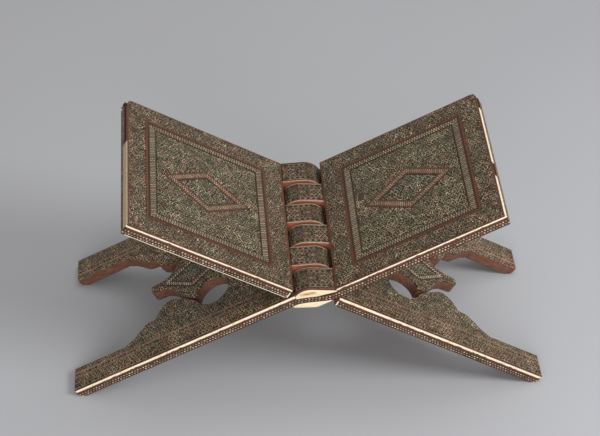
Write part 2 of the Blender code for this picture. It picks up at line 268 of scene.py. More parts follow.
def star_cell(g, x, y, pitch):
    """Honeycomb cells with a six-pointed star in each, cut into small triangles.

    Gives the star's measure (its sides are at POINT), the measure of its middle hexagon (the
    same), that of the cell (its sides are at 0.5), the cell's centre, the triangle's own three
    whole numbers, and how near its edge a place is (0.5 on the edge).
    """
    spot = g.scaled(g.join(x, y), 1 / pitch)
    low, high = (-0.5, -ROOT3 / 2, -1.0), (0.5, ROOT3 / 2, 1.0)
    first = g.vector("WRAP", spot, high, low)
    second = g.vector("WRAP", g.vector("ADD", spot, (0.5, ROOT3 / 2, 0)), high, low)
    nearer = g.math("LESS_THAN", g.vector("LENGTH", second), g.vector("LENGTH", first))
    local = g.mix_vector(nearer, first, second)
    centre = g.vector("SUBTRACT", spot, local)

    def project(vector, degrees):
        turn = math.radians(degrees)
        return g.vector("DOT_PRODUCT", vector, (math.cos(turn), math.sin(turn), 0))

    sides = g.largest(*(g.math("ABSOLUTE", project(local, a)) for a in (0, 60, 120)))
    steps = [project(local, a) for a in (90, 210, 330)]
    one = g.largest(*steps)
    lowest = g.math("MINIMUM", g.math("MINIMUM", steps[0], steps[1]), steps[2])
    other = g.math("MULTIPLY", lowest, -1.0)
    star, middle = g.math("MINIMUM", one, other), g.math("MAXIMUM", one, other)
    rows = [g.math("MULTIPLY", project(spot, a), 1 / POINT) for a in (90, 210, 330)]
    whole = g.join(*(g.math("FLOOR", row) for row in rows))
    rims = [g.math("ABSOLUTE", g.math("SUBTRACT", g.math("FRACT", row), 0.5)) for row in rows]
    return star, middle, sides, centre, whole, g.largest(*rims)


def steady(g, centre):
    """The cell's centre as whole numbers, so that every point of a cell draws the same dice."""
    doubled = g.vector("MULTIPLY", centre, (2.0, 2 / ROOT3, 1.0))
    return g.vector("FLOOR", g.vector("ADD", doubled, (0.5, 0.5, 0.5)))


def uneven(g, x, y, reach=6.0):
    """Lets a pattern wander a little, as hand-laid blocks do."""
    place = g.board()
    across = g.math("SUBTRACT", g.noise(place, 0.11, 2.0), 0.5)
    along = g.math("SUBTRACT", g.noise(g.vector("ADD", place, (31.0, 17.0, 5.0)), 0.11, 2.0), 0.5)
    return g.math("MULTIPLY_ADD", across, reach, x), g.math("MULTIPLY_ADD", along, reach, y)


def star_mosaic(g, x, y, pitch, palette, rosettes=True):
    """Colour and height of all-over star mosaic, every chip in a shade of its own."""
    pale, points, inner, body, plain = PALETTES[palette]
    star, middle, sides, centre, whole, rim = star_cell(g, x, y, pitch)
    number = steady(g, centre)
    cell, cell_two, hue = g.dice(number)
    shade, swap, warmth = g.dice(g.vector("ADD", whole, (0.5, 0.5, 0.5)))
    parts = g.split(whole)
    odd = g.math("GREATER_THAN", g.math("ADD", g.math("ADD", parts[0], parts[1]), parts[2]), -1.5)
    chips = g.mix(odd, inner, body)
    chips = g.mix(g.edge(middle, POINT), chips, g.mix(g.remap(cell, 0.3, 0.7), points, body))
    glow = g.remap(cell_two, 0, 1, 0.38, 1.55)
    bright = g.mix(1.0, pale, g.join(glow, glow, glow), blend="MULTIPLY")
    colour = g.mix(g.edge(star, POINT * 1.1), chips, bright)
    colour = g.mix(g.math("GREATER_THAN", swap, 0.94), colour, bright)
    colour = g.mix(g.math("LESS_THAN", swap, 0.15), colour, points)
    if rosettes:
        i, j, _ = g.split(number)
        row = g.math("FLOORED_MODULO", j, 3.0)
        column = g.math("FLOORED_MODULO", g.math("SUBTRACT", i, j), 6.0)
        chosen = g.math("MULTIPLY", g.math("LESS_THAN", row, 0.5), g.math("LESS_THAN", column, 0.5))
        chosen = g.math("MULTIPLY", chosen, g.math("LESS_THAN", sides, 0.44))
        colour = g.mix(chosen, colour, plain)
    tone = g.remap(shade, 0, 1, 0.70, 1.24)
    lean = g.math("ADD", g.math("MULTIPLY", warmth, 0.4), g.math("MULTIPLY", hue, 0.6))
    redder = g.math("MULTIPLY", tone, g.remap(lean, 0, 1, 0.84, 1.15))
    bluer = g.math("MULTIPLY", tone, g.remap(lean, 0, 1, 1.12, 0.92))
    colour = g.mix(1.0, colour, g.join(redder, tone, bluer), blend="MULTIPLY")
    line = g.remap(rim, 0.44, 0.49)
    colour = g.mix(g.math("MULTIPLY", line, 0.55), colour, EBONY)
    return colour, g.math("SUBTRACT", 1.0, line)


def patina(g, colour, strength=0.35):
    """Slow change of tone, brown dirt and fine grime over a mosaic."""
    place = g.board()
    slow = g.remap(g.noise(place, 0.035, 3.0), 0.3, 0.7, 1 - strength * 0.7, 1 + strength * 0.6)
    fine = g.remap(g.noise(place, 0.9, 2.0), 0.3, 0.75, 0.84, 1.14)
    tone = g.math("MULTIPLY", slow, fine)
    lean = g.noise(g.vector("ADD", place, (12.0, 70.0, 3.0)), 0.17, 2.0)
    redder = g.math("MULTIPLY", tone, g.remap(lean, 0.35, 0.65, 0.88, 1.12))
    greener = g.math("MULTIPLY", tone, g.remap(lean, 0.35, 0.65, 1.04, 0.96))
    colour = g.mix(1.0, colour, g.join(redder, greener, tone), blend="MULTIPLY")
    dirt = g.noise(g.vector("ADD", place, (50.0, 9.0, 2.0)), 0.06, 4.0)
    return g.mix(g.remap(dirt, 0.5, 0.75, 0, strength), colour, (0.060, 0.034, 0.018))


def lined(g, colour, value, lines):
    """Draws straight lines over a colour: each is (start, end, colour) of the value."""
    for start, end, tone in lines:
        grain = g.remap(g.noise(g.board(), 0.75, 3.0), 0.33, 0.67, 0.35, 1.6)
        toned = g.mix(1.0, tone, g.join(grain, grain, grain), blend="MULTIPLY")
        colour = g.mix(g.between(value, start, end), colour, toned)
    return colour


def field_material(name, pitch, palette, rosettes=True, edging=()):
    """All-over star mosaic on a flat face, with lines at set distances along and across it."""
    g = Graph(name)
    x, y, _ = g.split(g.board())
    colour, height = star_mosaic(g, *uneven(g, x, y), pitch, palette, rosettes)
    for axis, *line in edging:
        colour = lined(g, colour, x if axis == "x" else g.math("ABSOLUTE", y), [line])
    return g.finish(patina(g, colour), g.remap(height, 0, 1, 0.55, 0.38), height, 0.04, sheen=0.22)


def mosaic_rows(g, run, side, rows, lines, pitch, palette):
    """Star mosaic with rows of dark hexagons, (centre, half height) each, and straight lines."""
    bright_spot = [0.75 * c for c in PALETTES[palette][0]]
    colour, height = star_mosaic(g, run, side, MOSAIC_PITCH, palette, False)
    for centre, half in rows:
        level = g.math("SUBTRACT", side, centre)
        _, _, sides, number, _, _ = star_cell(g, run, level, pitch)
        shade, tint, _ = g.dice(steady(g, number))
        dark = g.mix(shade, (0.010, 0.007, 0.004), (0.026, 0.021, 0.010))
        pale = g.mix(tint, (0.060, 0.036, 0.018), bright_spot)
        around = g.mix(g.math("LESS_THAN", shade, 0.6), colour, pale)
        spots = g.mix(g.edge(sides, 0.33, 0.03), dark, around)
        colour = g.mix(g.math("LESS_THAN", g.math("ABSOLUTE", level), half), colour, spots)
    return g.finish(patina(g, lined(g, colour, side, lines)), 0.42, height, 0.04, sheen=0.22)


def leg_band_material():
    """The leg's side bands: hexagon rows and rosy lines along the leg."""
    g = Graph("mosaic_leg_band")
    x, y, _ = g.split(g.board())
    rows = [(63.4, 1.9), (76.5, 1.9)]
    rosy = (0.400, 0.175, 0.110)
    faint = (0.270, 0.120, 0.075)
    lines = [(60.4, 61.3, rosy), (65.5, 66.1, faint), (73.3, 73.9, faint), (79.0, 82, RED_LINE)]
    return mosaic_rows(g, x, g.math("ABSOLUTE", y), rows, lines, 3.0, "leg")


def knuckle_material():
    """Knuckle tops: a row of dark hexagons along each side and stars between them."""
    g = Graph("mosaic_knuckle")
    along, across, _ = g.split(g.strip())
    lines = [(5.7, 6.1, DULL_RED), (10.4, 10.9, DULL_RED), (10.9, 13, UMBER)]
    return mosaic_rows(g, along, g.math("ABSOLUTE", across), [(8.4, 1.9)], lines, 3.8, "knuckle")


def band_material(name, stripes, hatch, pale, ground, period, slant=0.0):
    """Banding: straight stripes (start, end, colour) and a hatched strip of short pale strokes."""
    g = Graph(name)
    along, across, _ = g.split(g.strip())
    low, high = hatch
    second = g.math("GREATER_THAN", across, (low + high) / 2)
    run = g.math("MULTIPLY_ADD", across, slant, g.math("MULTIPLY_ADD", second, period / 2, along))
    number = g.math("FLOOR", g.math("DIVIDE", run, period))
    phase = g.math("FRACT", g.math("DIVIDE", run, period))
    dice, dice_two, _ = g.dice(g.join(number, 7.0, 3.0))
    stroke = g.math("ABSOLUTE", g.math("SUBTRACT", phase, 0.5))
    worn = g.remap(g.noise(g.board(), 0.8, 2.0), 0.3, 0.7, 0.35, 1.1)
    light = g.math("MULTIPLY", g.remap(dice, 0, 1, 0.5, 1.15), worn)
    deep = g.mix(dice_two, ground, (0.018, 0.015, 0.007))
    hatched = g.mix(g.edge(stroke, 0.23, 0.06), g.mix(light, ground, pale), deep)
    border = g.math("MAXIMUM", g.math("LESS_THAN", across, low + 0.3),
                    g.math("GREATER_THAN", across, high - 0.3))
    colour = lined(g, g.mix(border, hatched, UMBER), across, stripes)
    height = g.math("SUBTRACT", 1.0, g.edge(stroke, 0.25, 0.08))
    return g.finish(patina(g, colour, 0.2), 0.42, height, 0.03, sheen=0.22)


def edge_material():
    """Strip on a board's edge: two rows of staggered light dots between dark red lines."""
    g = Graph("mosaic_edge")
    half = EDGE_HEIGHT / 2
    along, across, _ = g.split(g.strip())
    middle = g.math("SUBTRACT", across, half)
    colour, height = star_mosaic(g, along, middle, 2.6, "edge", False)
    _, _, sides, number, _, _ = star_cell(g, along, g.math("ADD", middle, 1.1), 2.55)
    dice, tint, _ = g.dice(steady(g, number))
    dot = g.math("SUBTRACT", 1.0, g.edge(sides, 0.26, 0.05))
    tone = g.mix(g.math("GREATER_THAN", tint, 0.5), (0.36, 0.25, 0.17), (0.56, 0.47, 0.34))
    shown = g.math("MULTIPLY", dot, g.remap(dice, 0.0, 0.5, 0.25, 1.0))
    inside = g.math("LESS_THAN", g.math("ABSOLUTE", middle), 2.2)
    colour = g.mix(g.math("MULTIPLY", shown, inside), colour, tone)
    lines = [(half - 0.85, half - 0.25, DULL_RED), (half - 0.25, half + 1, UMBER)]
    colour = lined(g, colour, g.math("ABSOLUTE", middle), lines)
    return g.finish(patina(g, colour, 0.25), 0.45, height, 0.03, sheen=0.22)


def bone_material(name, dulling_and_shade=0.0, dull=(0.22, 0.12, 0.075)):
    """Old bone: cream, faintly streaked along the strip, browner in patches and at joints."""
    g = Graph(name)
    place = g.board()
    streak = g.noise(g.vector("MULTIPLY", place, (0.12, 0.5, 3.0)), 1.0, 3.0)
    patch = g.noise(place, 0.08, 3.0)
    grime = g.noise(place, 0.7, 4.0)
    colour = g.mix(g.remap(streak, 0.35, 0.7), (0.93, 0.84, 0.66), (0.84, 0.71, 0.50))
    colour = g.mix(g.remap(patch, 0.45, 0.75, 0, 0.7), colour, (0.95, 0.89, 0.74))
    # The dulling amount adds grime and then mixes in the flat colour dull: aged dulling on the
    # knuckle lines, painted shade on the left leaf's end bone.
    colour = g.mix(g.remap(grime, 0.56 - 0.3 * dulling_and_shade, 0.70, 0, 0.65 + 0.3 * dulling_and_shade), colour,
                   (0.36, 0.20, 0.10))
    if dulling_and_shade:
        colour = g.mix(dulling_and_shade, colour, dull)
    return g.finish(colour, g.remap(grime, 0.3, 0.8, 0.30, 0.5), streak, 0.04, coat=0.2)


def wood_material():
    """Red-brown stained hardwood with its grain along the board."""
    g = Graph("stained_wood")
    place = g.board()
    stretched = g.vector("MULTIPLY", place, (0.05, 0.55, 0.55))
    wave = g.noise(place, 0.06, 2.0)
    wavy = g.vector("ADD", stretched, g.scaled(g.join(wave, wave, wave), 2.0))
    grain = g.noise(wavy, 2.2, 6.0, 0.7)
    pores = g.noise(g.vector("MULTIPLY", place, (0.12, 2.6, 2.6)), 1.6, 3.0)
    colour = g.mix(g.remap(grain, 0.36, 0.64), (0.055, 0.020, 0.010), (0.250, 0.096, 0.052))
    colour = g.mix(g.remap(pores, 0.60, 0.72, 0, 0.7), colour, (0.026, 0.011, 0.008))
    worn = g.noise(place, 0.11, 4.0)
    colour = g.mix(g.remap(worn, 0.58, 0.72, 0, 0.5), colour, (0.260, 0.130, 0.075))
    x, _, _ = g.split(place)
    # Painted light: the knuckles' side walls near the hinge are brightened to a lit red, over the
    # wood's own red.
    near = g.remap(g.math("ABSOLUTE", x), 17, 20, 0.7, 0.0)
    colour = g.mix(near, colour, g.mix(grain, (0.300, 0.080, 0.042), (0.420, 0.135, 0.075)))
    return g.finish(colour, g.remap(grain, 0.3, 0.7, 0.62, 0.45), pores, 0.06, coat=0.05)


def lens_material():
    """Bone of the end knuckle's plates, with a rusty stain along the middle of the upper one."""
    g = Graph("bone_lens")
    place = g.board()
    x, _, z = g.split(place)
    streak = g.noise(g.vector("MULTIPLY", place, (0.2, 0.5, 2.0)), 1.0, 3.0)
    colour = g.mix(g.remap(streak, 0.35, 0.7), (0.89, 0.78, 0.54), (0.79, 0.65, 0.41))
    blot = g.noise(g.vector("MULTIPLY", place, (0.4, 0.3, 1.2)), 0.5, 2.0)
    fade = g.remap(g.math("ABSOLUTE", g.math("ADD", x, 2.5)), 4.5, 7.5, 1.0, 0.0)
    reach = g.math("MULTIPLY", fade, g.between(z, 1.5, 9.0))
    slanted = g.math("ADD", z, g.math("MULTIPLY", x, 0.34))
    level = g.math("ABSOLUTE", g.math("SUBTRACT", slanted, 5.3))
    stain = g.math("MULTIPLY", g.remap(level, 0.7, 2.0, 0.95, 0.0),
                   g.remap(blot, 0.30, 0.60, 0.45, 1.0))
    colour = g.mix(g.math("MULTIPLY", stain, reach), colour, (0.48, 0.20, 0.055))
    return g.finish(colour, 0.34, streak, 0.03, coat=0.2)


def red_material():
    """The wood of the thin red-stained fillets."""
    g = Graph("red_fillet")
    grain = g.noise(g.vector("MULTIPLY", g.board(), (0.4, 1.0, 1.0)), 1.3, 4.0)
    colour = g.mix(g.remap(grain, 0.35, 0.65), (0.055, 0.018, 0.008), (0.190, 0.066, 0.030))
    return g.finish(colour, 0.45, grain, 0.03)


def plug_material():
    """A brown wooden plug let into the mosaic."""
    g = Graph("brown_plug")
    grain = g.noise(g.vector("MULTIPLY", g.board(), (0.3, 1.4, 1.0)), 1.2, 4.0)
    colour = g.mix(grain, (0.035, 0.020, 0.008), (0.085, 0.050, 0.022))
    return g.finish(colour, 0.5, grain, 0.04, sheen=0.22)


# ---------------------------------------------------------------- mesh helpers, board space
def arc(centre, radius, start, end, steps):
    angles = [start + (end - start) * i / steps for i in range(steps + 1)]
    return [(centre[0] + radius * math.cos(a), centre[1] + radius * math.sin(a)) for a in angles]


def crown_angle():
    """Direction from the crown's centre to where the slope from the leaf's heel touches it."""
    x, z = HEEL - CROWN_CENTRE[0], -FACE_GAP - CROWN_CENTRE[1]
    return math.atan2(z, x) + math.acos(CROWN_RADIUS / math.hypot(x, z))


def crown_height(inset, x):
    """Height at x of the slope from a knuckle's crown down to the leaf, some way inside it."""
    angle = crown_angle()
    rest = CROWN_RADIUS - inset - (x - CROWN_CENTRE[0]) * math.cos(angle)
    return CROWN_CENTRE[1] + rest / math.sin(angle)


def crown_line(inset, start, end, steps=14):
    """A knuckle's top from the leaf's heel over the crown to the leg, some way inside its face."""
    radius = CROWN_RADIUS - inset
    last = math.pi - math.asin((THICKNESS - inset - CROWN_CENTRE[1]) / radius)
    line = [(start, crown_height(inset, start))]
    line += arc(CROWN_CENTRE, radius, crown_angle(), last, steps)
    return line + [(end, THICKNESS - inset)]


def turned_corner(work, sign, radius):
    """Rounds a plate's far corner, on one side of the leaf, to a worn radius."""
    edge_x, edge_y = LEAF_REACH - radius, HALF_WIDTH - radius
    for i in range(6):
        at = radius * i / 6
        cuts = (((edge_x + at, 0, 0), (1, 0, 0)), ((0, sign * (edge_y + at), 0), (0, 1, 0)))
        for point, normal in cuts:
            bmesh.ops.bisect_plane(work, geom=work.verts[:] + work.edges[:] + work.faces[:],
                                   plane_co=point, plane_no=normal, dist=0.001)
    for vert in work.verts:
        dx, dy = vert.co.x - edge_x, sign * vert.co.y - edge_y
        if dx > 0 and dy > 0:
            scale = max(dx, dy) / math.hypot(dx, dy)
            vert.co.x = edge_x + dx * scale
            vert.co.y = sign * (edge_y + dy * scale)


def trim(work, x):
    """Cuts off and closes whatever lies beyond x."""
    cut = bmesh.ops.bisect_plane(work, geom=work.verts[:] + work.edges[:] + work.faces[:],
                                 plane_co=(x, 0, 0), plane_no=(1, 0, 0), clear_outer=True)
    edges = [e for e in cut["geom_cut"] if isinstance(e, bmesh.types.BMEdge)]
    bmesh.ops.holes_fill(work, edges=edges)


def smoothstep(t):
    return t * t * (3 - 2 * t)


def loft(work, sections):
    """A closed solid through equal cross-sections, added to a bmesh."""
    rings = [[work.verts.new(p) for p in section] for section in sections]
    count = len(rings[0])
    for near, far in zip(rings, rings[1:]):
        for i in range(count):
            j = (i + 1) % count
            work.faces.new((near[i], near[j], far[j], far[i]))
    work.faces.new(rings[0][::-1])
    work.faces.new(rings[-1])


def soften(work, width, segments=2, angle=30):
    """Rounds every edge sharper than the angle."""
    bmesh.ops.recalc_face_normals(work, faces=work.faces)
    sharp = [e for e in work.edges if len(e.link_faces) == 2
             and e.calc_face_angle(0) > math.radians(angle)]
    if sharp and width > 0:
        bmesh.ops.bevel(work, geom=sharp, offset=width, segments=segments, profile=0.6,
                        affect="EDGES", clamp_overlap=True)


def strip_uv(work, mapping):
    """Writes distances along and across a strip, from a function of the board point."""
    layer = work.loops.layers.uv.get("strip") or work.loops.layers.uv.new("strip")
    for face in work.faces:
        for loop in face.loops:
            loop[layer].uv = mapping(loop.vert.co)


def place(side, name, work, material, slot, stands_for=()):
    """Turns a bmesh in board space into a piece that rides on its board."""
    mesh = bpy.data.meshes.new(f"{side}_{name}")
    work.to_mesh(mesh)
    work.free()
    board = mesh.attributes.new("board", "FLOAT_VECTOR", "POINT")
    board.data.foreach_set("vector", [c for v in mesh.vertices for c in v.co])
    mesh.transform(BOARD[side] @ Matrix.Scale(MM, 4))
    mesh.materials.append(material)
    mesh.shade_smooth()
    mesh.set_sharp_from_angle(angle=math.radians(CREASE))
    piece = bpy.data.objects.new(mesh.name, mesh)
    bpy.context.scene.collection.objects.link(piece)
    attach(piece, f"{side}_board")
    if stands_for:
        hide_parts(*(f"{side}_{node}" for node in stands_for))


def from_cad(side, node, bevel):
    """A bmesh in board space from a CAD node, welded, with flat faces merged and edges rounded."""
    work = bmesh.new()
    work.from_mesh(frame["nodes"][f"{side}_{node}"].data)
    to_board = Matrix.Scale(1 / MM, 4) @ BOARD[side].inverted()
    bmesh.ops.transform(work, matrix=to_board, verts=work.verts)
    bmesh.ops.remove_doubles(work, verts=work.verts, dist=0.002)
    bmesh.ops.dissolve_limit(work, angle_limit=math.radians(0.6), verts=work.verts,
                             edges=work.edges)
    soften(work, bevel)
    bmesh.ops.triangulate(work, faces=[f for f in work.faces if len(f.verts) > 4])
    return work


# ---------------------------------------------------------------- pieces
def banding(side, name, outer, inner, z_top, depth, material, stands_for):
    """A mitred band between two outlines of four corners, one solid for each side."""
    whole = bmesh.new()
    whole.loops.layers.uv.new("strip")
    for i in range(4):
        j = (i + 1) % 4
        a, b, c, d = (Vector((*p, 0)) for p in (outer[i], outer[j], inner[j], inner[i]))
        run = (b - a).normalized()
        inward = (d - a) - run * (d - a).dot(run)
        inward.normalize()
        mitre = run * 0.03
        one = bmesh.new()
        corners = (a + mitre, b - mitre, c - mitre, d + mitre)
        loft(one, [[(p.x, p.y, z) for p in corners] for z in (z_top - depth, z_top)])
        soften(one, 0.1)
        uv = one.loops.layers.uv.new("strip")
        for face in one.faces:
            for loop in face.loops:
                offset = Vector((loop.vert.co.x, loop.vert.co.y, 0)) - a
                loop[uv].uv = (offset.dot(run), offset.dot(inward))
        mesh = bpy.data.meshes.new("side")
        one.to_mesh(mesh)
        one.free()
        whole.from_mesh(mesh)
        bpy.data.meshes.remove(mesh)
    place(side, name, whole, material, "fillet", stands_for)


def chipped_strip(work, start, end, up, out, height, depth, dice, lost=()):
    """Bone strip in fitted lengths, with chipped edges and missing stretches.

    start and end are the ends of its exposed upper arris; up and out are its height and outward
    directions. The strip hangs down from the arris and reaches back into the board.
    """
    run = end - start
    total = run.length
    run.normalize()
    lengths, at = [], 0.0
    for low, high in (*lost, (total, total)):
        while low - at > 2:
            length = min(dice.uniform(16, 44), low - at)
            if low - at - length < 8:
                length = low - at
            lengths.append((at + JOINT, at + length - JOINT))
            at += length
        at = high
    for first, last in lengths:
        proud = dice.uniform(0.03, 0.10)
        count = max(2, int((last - first) / 2.2))
        sections = []
        for i in range(count + 1):
            s = first + (last - first) * i / count
            chip_low = dice.uniform(0.2, 0.8) if dice.random() < 0.16 else dice.uniform(0, 0.12)
            chip_high = dice.uniform(0.1, 0.4) if dice.random() < 0.12 else 0.0
            base = start + run * s
            front = out * proud
            sections.append([base - up * chip_high + front,
                             base - up * (height - chip_low) + front,
                             base - up * height - out * depth,
                             base - out * depth])
        loft(work, sections)


def stringing(side, name, runs, seed, stands_for, material, corner=0):
    """One bone piece from several chipped strips."""
    dice = random.Random(seed)
    work = bmesh.new()
    for start, end, up, out, height, depth, lost in runs:
        chipped_strip(work, Vector(start), Vector(end), Vector(up), Vector(out), height, depth,
                      dice, lost)
    soften(work, 0.13, angle=40)
    if corner:
        turned_corner(work, corner, WORN_CORNER)
    place(side, name, work, material, "stringing", stands_for)


def bar(work, x0, x1, y0, y1, z0, z1):
    loft(work, [[(x, y0, z0), (x, y1, z0), (x, y1, z1), (x, y0, z1)] for x in (x0, x1)])


def rectangle(x0, x1, half):
    return [(x0, -half), (x1, -half), (x1, half), (x0, half)]


def diamond(centre, halves, inset=0.0):
    length, width = halves
    scale = 1 - inset * math.hypot(length, width) / (length * width)
    a, b = length * scale, width * scale
    return [(centre - a, 0), (centre, -b), (centre + a, 0), (centre, b)]


LEAF_PALE = (-FACE_GAP - SKIN - LEAF_STRINGING, -FACE_GAP - SKIN)
LEG_PALE = (THICKNESS - SKIN - LEG_STRINGING, THICKNESS - SKIN)


def edge_levels(x):
    """Lower and upper edge of the outer mosaic strip at a place along the board."""
    t = min(1, max(0, (x / CURVE_REACH + 1) / 2))
    rise = (t + smoothstep(t)) / 2
    low = FACE_GAP + (-THICKNESS - FACE_GAP) * rise
    return low, LEG_PALE[0] - GLUE + (LEAF_PALE[0] - LEG_PALE[0]) * rise


def outer_edge_uv(point):
    low, high = edge_levels(point.x)
    return point.x, (point.z - low) / (high - low) * EDGE_HEIGHT


def end_edge_uv(point):
    low, high = edge_levels(LEAF_REACH)
    return point.y, (point.z - low) / (high - low) * EDGE_HEIGHT


def make_leaf(side, looks, seed):
    """Reading face, underside and edges of the leaf."""
    back = 1 if side == "right" else -1
    for node, look in (("leaf_border", "border"), ("leaf_field", "field"), ("leaf_diamond", "net"),
                       ("leaf_underside", "underside")):
        work = from_cad(side, node, 0.08)
        if node == "leaf_border":
            trim(work, LEAF_REACH - END_TRIM)
        if node in ("leaf_border", "leaf_underside"):
            turned_corner(work, back, WORN_CORNER)
        place(side, f"{node}_shown", work, looks[look], "mosaic", (node,))
    top = -FACE_GAP + RELIEF
    banding(side, "leaf_frame_shown", rectangle(*FRAME_OUTER), rectangle(*FRAME_INNER),
            top, VENEER + RELIEF, looks["frame"], ("leaf_frame",))
    banding(side, "leaf_diamond_band_shown", diamond(DIAMOND_CENTRE, DIAMOND_HALVES, GLUE),
            diamond(DIAMOND_CENTRE, DIAMOND_HALVES, DIAMOND_BAND), top, VENEER + RELIEF,
            looks["diamond"], ("leaf_diamond_band",))
    for node, mapping in (("leaf_edge_inner", outer_edge_uv), ("leaf_edge_end", end_edge_uv)):
        work = from_cad(side, node, 0.12)
        strip_uv(work, mapping)
        turned_corner(work, back, WORN_CORNER)
        place(side, f"{node}_shown", work, looks["edge"], "mosaic", (node,))

    start, end, high = HEEL + GLUE, LEAF_REACH, LEAF_PALE[1]
    tall = (LEAF_STRINGING - LEAF_LINE, EDGE_STRIP)
    runs = [
        ((start, -HALF_WIDTH, high), (end, -HALF_WIDTH, high), UP, (0, -1, 0), *tall, ()),
        ((start, HALF_WIDTH, high), (end, HALF_WIDTH, high), UP, (0, 1, 0), *tall, ()),
    ]
    stringing(side, "leaf_stringing_shown", runs, seed,
              ("leaf_stringing_outer", "leaf_stringing_inner"), looks["bone"], back)

    arris = -FACE_GAP - 0.1
    if side == "right":
        tall, lost, look = SKIN - 0.1 + LEAF_STRINGING, RIGHT_LOST, "bone"
    else:
        # the left leaf's end bone is painted tan as shade
        tall, lost, look = LEFT_END_HEIGHT, LEFT_LOST, "painted_shade_bone"
    run = ((end, HALF_WIDTH - RIM, arris), (end, -HALF_WIDTH + RIM, arris), UP, (1, 0, 0), tall,
           END_TRIM - 0.06, lost)
    stringing(side, "leaf_end_stringing_shown", [run], seed + 50, ("leaf_stringing_end",),
              looks[look], back)


def make_leg(side, looks, seed):
    """Outer face, pendant and edges of the leg."""
    for node, look in (("leg_band_outer", "leg_band"), ("leg_band_inner", "leg_band"),
                       ("leg_arch", "arch"), ("pendant_diamond", "pendant_net")):
        place(side, f"{node}_shown", from_cad(side, node, 0.1), looks[look], "mosaic", (node,))
    banding(side, "pendant_band_shown", diamond(PENDANT_CENTRE, PENDANT_HALVES, GLUE),
            diamond(PENDANT_CENTRE, PENDANT_HALVES, PENDANT_BAND), THICKNESS + RELIEF,
            VENEER + RELIEF, looks["pendant"], ("pendant_band",))
    for node in ("leg_edge_inner", "edge_strip_outer"):
        work = from_cad(side, node, 0.12)
        strip_uv(work, outer_edge_uv)
        place(side, f"{node}_shown", work, looks["edge"], "mosaic", (node,))
    root, foot, high = -HEEL - GLUE, -LEG_REACH, LEG_PALE[1]
    tall = (LEG_STRINGING - LEG_LINE, EDGE_STRIP)
    lens = LENS_START - GLUE
    runs = [
        ((foot, -HALF_WIDTH, high), (lens, -HALF_WIDTH, high), UP, (0, -1, 0), *tall, ()),
        ((foot, HALF_WIDTH, high), (root, HALF_WIDTH, high), UP, (0, 1, 0), *tall, ()),
    ]
    stringing(side, "leg_stringing_shown", runs, seed,
              ("leg_stringing_outer", "leg_stringing_inner"), looks["bone"])


def edge_lines(side, looks):
    """Red fillets under the long bone strips, and a fine bone line under the leaf's inner edge."""
    red, pale = bmesh.new(), bmesh.new()
    runs = [(HEEL + GLUE, LEAF_REACH - EDGE_STRIP, LEAF_PALE[0], LEAF_LINE, (-1, 1)),
            (-LEG_REACH, LENS_START, LEG_PALE[0], LEG_LINE, (-1,)),
            (-LEG_REACH, -HEEL - GLUE, LEG_PALE[0], LEG_LINE, (1,))]
    for x0, x1, low, tall, signs in runs:
        for sign in signs:
            bar(red, x0, x1, sign * (HALF_WIDTH - EDGE_STRIP), sign * (HALF_WIDTH + 0.03),
                low, low + tall - 0.04)
    bar(pale, HEEL + 2, LEAF_REACH - 3, HALF_WIDTH - 0.4, HALF_WIDTH + 0.08,
        -THICKNESS - 0.04, -THICKNESS + LOWER_LINE)
    soften(red, 0.06)
    soften(pale, 0.1)
    turned_corner(red, 1 if side == "right" else -1, WORN_CORNER)
    place(side, "edge_fillets", red, looks["red"], "wood")
    place(side, "leaf_lower_line", pale, looks["bone"], "stringing")


def heel_bars(side, looks):
    """Slim bone bars on the front edge where leaf and leg end in a heel beside the hinge."""
    work = bmesh.new()
    heels = ((HEEL, -THICKNESS + 0.6, LEAF_PALE[0] - 0.3), (-HEEL, 0.8, LEG_PALE[0] - 0.3))
    for x, low, high in heels:
        sign = 1 if x > 0 else -1
        near, far = x + sign * 0.25, x + sign * 1.15
        y0, y1 = HALF_WIDTH - 0.4, HALF_WIDTH + 0.06
        loft(work, [[(near, y0, z), (far, y0, z), (far, y1, z), (near, y1, z)] for z in (low, high)])
    soften(work, 0.1)
    place(side, "heel_bars", work, looks["bone"], "stringing")


def make_knuckles(side, looks):
    """Bent veneers and fine lines over the knuckles, and the lens plates on the end one.

    The fine lines are bone, but for the red one along the stand's front or back edge.
    """
    arcs, front_arc = bmesh.new(), bmesh.new()
    for index in range(KNUCKLES // 2):
        begin = -HALF_WIDTH + 2 * index * PITCH
        low = begin + (0 if index == 0 else KNUCKLE_CLEARANCE / 2)
        high = begin + PITCH - KNUCKLE_CLEARANCE / 2
        start, end = HEEL - 0.4, -HEEL + 2 * GLUE
        outer = crown_line(0, start, end)
        inner = crown_line(VENEER, start, end)
        work = bmesh.new()
        near, far = low + ARC_WIDTH + 0.04, high - ARC_WIDTH - 0.04
        loft(work, [[(x, near, z), (x, far, z), (u, far, w), (u, near, w)]
                    for (x, z), (u, w) in zip(outer, inner)])
        soften(work, 0.08)
        middle = (low + high) / 2
        strip_uv(work, lambda p, m=middle: (p.x, p.y - m))
        place(side, f"knuckle_{index + 1}_upper_shown", work, looks["knuckle"], "mosaic",
              (f"knuckle_{index + 1}_upper",))
        lower = f"knuckle_{index + 1}_lower"
        place(side, f"{lower}_shown", from_cad(side, lower, 0.08), looks["underside"], "mosaic",
              (lower,))
        for a, b in ((low, low + ARC_WIDTH), (high - ARC_WIDTH, high)):
            loft(front_arc if a == -HALF_WIDTH else arcs,
                 [[(x, a, z), (x, b, z), (u, b, w), (u, a, w)]
                  for (x, z), (u, w) in zip(outer, inner)])
    soften(arcs, 0.12, segments=1)
    soften(front_arc, 0.12, segments=1)
    place(side, "knuckle_front_fillet", front_arc, looks["red"], "wood")
    place(side, "knuckle_stringing", arcs, looks["old_bone"], "stringing")
    place(side, "lens_lower_shown", from_cad(side, "lens_lower", 0.15), looks["lens"], "stringing",
          ("lens_lower",))
    end_lens(side, looks)


